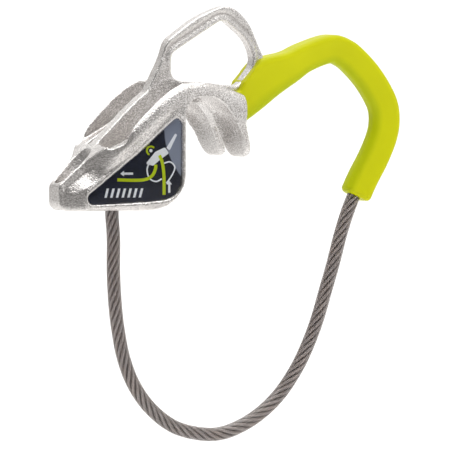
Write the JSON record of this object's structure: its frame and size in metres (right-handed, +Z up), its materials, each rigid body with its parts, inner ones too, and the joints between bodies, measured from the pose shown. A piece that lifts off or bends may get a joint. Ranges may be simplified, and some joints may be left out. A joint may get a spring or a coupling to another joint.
{
  "type": "belay device",
  "caption": "Assisted-braking belay device: cast steel body with an anchor eye, a coated wire rope loop and a moulded thumb loop.",
  "frame": {"origin": "middle of the anchor eye, on the device's plane of symmetry", "axes": "+X from the nose towards the thumb loop, +Y across the device towards its right side as seen from the rear facing the nose, +Z up, from the wire loop towards the anchor eye"},
  "size_m": [0.1182, 0.0326, 0.1304],
  "materials": {
    "cast_steel": "tumbled satin",
    "wire": "drawn wire",
    "coat": "clear gloss",
    "ferrule_steel": "pressed steel",
    "loop_plastic": "satin moulded",
    "film": "printed film",
    "dome": "clear gloss dome"
  },
  "bodies": {
    "root": {"body_casting": "cast_steel", "wire_rope": "wire", "rope_coat": "coat", "front_ferrule": "ferrule_steel", "rear_ferrule": "ferrule_steel", "thumb_loop": "loop_plastic", "label_film_left": "film", "label_film_right": "film", "label_dome_left": "dome", "label_dome_right": "dome"}
  },
  "joints": []
}
